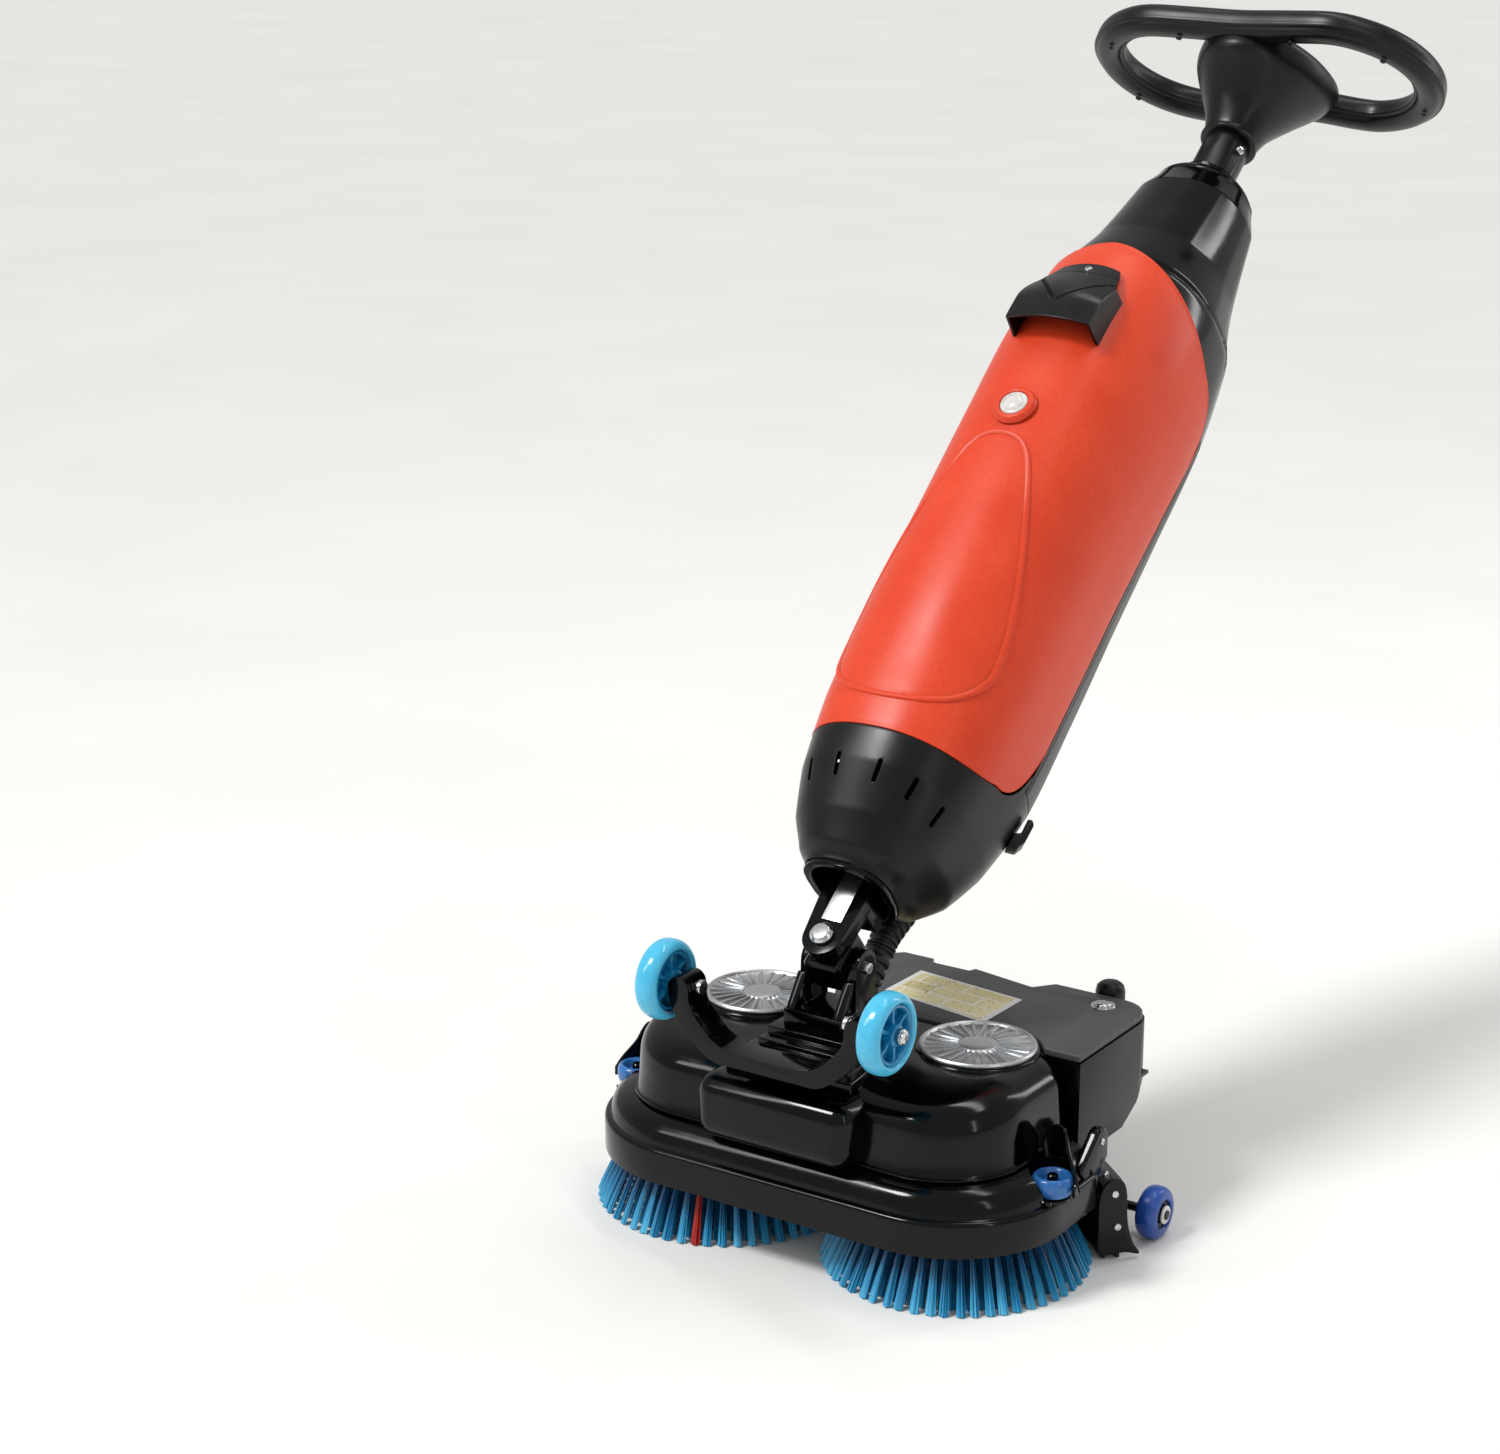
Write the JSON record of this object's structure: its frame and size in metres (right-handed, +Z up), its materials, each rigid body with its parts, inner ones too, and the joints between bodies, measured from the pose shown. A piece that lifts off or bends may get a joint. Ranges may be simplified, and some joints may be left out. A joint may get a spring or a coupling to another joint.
{
  "type": "wet dry floor scrubber",
  "caption": "Walk-behind floor scrubber with twin disc brushes under a low deck, a leaning tank body on a tilting neck, a curved squeegee and a loop handle.",
  "frame": {"origin": "on the floor, at the middle of the machine's footprint box", "axes": "+X to the right seen from the front, -Y the machine's front, +Y the operator's side, +Z up"},
  "size_m": [0.497, 0.9804, 0.9785],
  "materials": {
    "black_gloss": "gloss black moulded ABS",
    "black_satin": "satin black moulded ABS",
    "tank_red": "red-orange moulded ABS with a soft gloss",
    "dark_grey": "dark grey moulded plastic",
    "cast_silver": "cast aluminium, satin",
    "steel": "zinc-plated or stainless steel",
    "bristle": "teal-blue crimped nylon bristle tufts",
    "tyre_blue": "clear light-blue polyurethane",
    "hub_blue": "translucent blue nylon",
    "roller_blue": "dark blue polyurethane",
    "rubber": "black rubber",
    "button_cap": "silver-white cap",
    "circuit_board": "green circuit board"
  },
  "bodies": {
    "deck": {"skirt": "black_gloss", "deck_plate": "steel", "deck_shell": "black_gloss", "gearbox_left": "cast_silver", "gearbox_right": "cast_silver", "motor_left": "steel", "motor_right": "steel", "vent_cap_left": "cast_silver", "vent_cap_right": "cast_silver", "wheel_bracket": "black_gloss", "wheel_axle_left": "steel", "wheel_axle_right": "steel", "column_base_plate": "black_gloss", "neck_column": "black_gloss", "pitch_pin": "steel", "battery_box": "black_gloss", "battery_pack": "dark_grey", "suction_port": "black_satin", "hose_lower": "rubber"},
    "lid": {"battery_lid": "dark_grey"},
    "lid_screw": {"thumb_screw": "steel"},
    "adjuster": {"adjuster_knob": "black_satin"},
    "brush_left": {"brush_left_block": "black_satin", "brush_left_bristles": "bristle"},
    "brush_right": {"brush_right_block": "black_satin", "brush_right_bristles": "bristle"},
    "wheel_left": {"wheel_left_tyre": "tyre_blue", "wheel_left_hub": "hub_blue"},
    "wheel_right": {"wheel_right_tyre": "tyre_blue", "wheel_right_hub": "hub_blue"},
    "bumper_left": {"bumper_roller_left": "roller_blue"},
    "bumper_right": {"bumper_roller_right": "roller_blue"},
    "squeegee": {"squeegee_frame": "black_satin", "squeegee_blade_front": "rubber", "squeegee_blade_rear": "rubber"},
    "guide_left": {"guide_roller_left": "roller_blue"},
    "guide_right": {"guide_roller_right": "roller_blue"},
    "yoke": {"neck_yoke": "black_gloss", "roll_pin": "steel"},
    "body": {"neck_arm": "black_gloss", "arm_plate": "cast_silver", "bowl": "black_satin", "neck_ring": "black_gloss", "hose_upper": "rubber", "clean_tank": "tank_red", "spine_frame": "black_satin", "recovery_tank": "dark_grey", "top_cap": "black_gloss", "button_bezel": "tank_red", "vacuum_motor": "steel", "control_board": "circuit_board", "water_pump": "steel", "handle_tube": "black_satin"},
    "fan": {"fan_wheel": "cast_silver"},
    "latch": {"tank_latch": "black_satin"},
    "button": {"power_button": "button_cap"},
    "handle": {"handle_stem": "steel", "handle_boss": "black_satin", "handle_loop": "black_satin"},
    "snap": {"snap_button": "steel"}
  },
  "joints": [
    {"name": "neck_pitch", "type": "hinge", "parent": "deck", "child": "yoke", "pos_m": [0, -0.35805, 0.24024], "axis": [1, 0, 0], "range_deg": [-22, 51.4], "deforming": ["hose_lower"]},
    {"name": "neck_roll", "type": "hinge", "parent": "yoke", "child": "body", "pos_m": [0, -0.383, 0.2715], "axis": [0, -0.6239, 0.7815], "range_deg": [-35, 35], "deforming": ["hose_upper"]},
    {"name": "brush_left_spin", "type": "hinge", "parent": "deck", "child": "brush_left", "pos_m": [-0.115, -0.353, 0.06], "axis": [0, 0, 1], "continuous": true},
    {"name": "brush_right_spin", "type": "hinge", "parent": "deck", "child": "brush_right", "pos_m": [0.115, -0.353, 0.06], "axis": [0, 0, 1], "continuous": true},
    {"name": "wheel_left_spin", "type": "hinge", "parent": "deck", "child": "wheel_left", "pos_m": [-0.107, -0.456, 0.2333], "axis": [1, 0, 0], "continuous": true},
    {"name": "wheel_right_spin", "type": "hinge", "parent": "deck", "child": "wheel_right", "pos_m": [0.107, -0.456, 0.2333], "axis": [1, 0, 0], "continuous": true},
    {"name": "bumper_left_spin", "type": "hinge", "parent": "deck", "child": "bumper_left", "pos_m": [-0.2075, -0.359, 0.0925], "axis": [0, 0, 1], "continuous": true},
    {"name": "bumper_right_spin", "type": "hinge", "parent": "deck", "child": "bumper_right", "pos_m": [0.2075, -0.359, 0.0925], "axis": [0, 0, 1], "continuous": true},
    {"name": "lid_hinge", "type": "hinge", "parent": "deck", "child": "lid", "pos_m": [0, -0.2818, 0.1662], "axis": [1, 0, 0], "range_deg": [0, 32]},
    {"name": "thumb_screw_turn", "type": "hinge", "parent": "lid", "child": "lid_screw", "pos_m": [0.151, -0.169, 0.172], "axis": [0, 0, 1], "continuous": true},
    {"name": "adjuster_turn", "type": "hinge", "parent": "deck", "child": "adjuster", "pos_m": [0.138, -0.1305, 0.17], "axis": [0, 0, 1], "continuous": true},
    {"name": "squeegee_lift", "type": "hinge", "parent": "deck", "child": "squeegee", "pos_m": [0, -0.287, 0.086], "axis": [1, 0, 0], "range_deg": [0, 7]},
    {"name": "guide_left_spin", "type": "hinge", "parent": "squeegee", "child": "guide_left", "pos_m": [-0.236, -0.228, 0.023], "axis": [1, 0, 0], "continuous": true},
    {"name": "guide_right_spin", "type": "hinge", "parent": "squeegee", "child": "guide_right", "pos_m": [0.236, -0.228, 0.023], "axis": [1, 0, 0], "continuous": true},
    {"name": "fan_spin", "type": "hinge", "parent": "body", "child": "fan", "pos_m": [0, -0.24009, 0.42909], "axis": [0, 0.7815, 0.6239], "continuous": true},
    {"name": "latch_hinge", "type": "hinge", "parent": "body", "child": "latch", "pos_m": [0, 0.04012, 0.7673], "axis": [-1, 0, 0], "range_deg": [0, 38]},
    {"name": "power_button_press", "type": "slide", "parent": "body", "child": "button", "axis": [0, 0.6239, -0.7815], "range_m": [0, 0.0025], "stiffness_N_per_m": 400},
    {"name": "handle_slide", "type": "slide", "parent": "body", "child": "handle", "axis": [0, 0.7815, 0.6239], "range_m": [0, 0.04]},
    {"name": "snap_button_press", "type": "slide", "parent": "body", "child": "snap", "axis": [-0.9063, 0.2637, -0.3303], "range_m": [0, 0.0015], "stiffness_N_per_m": 300}
  ]
}
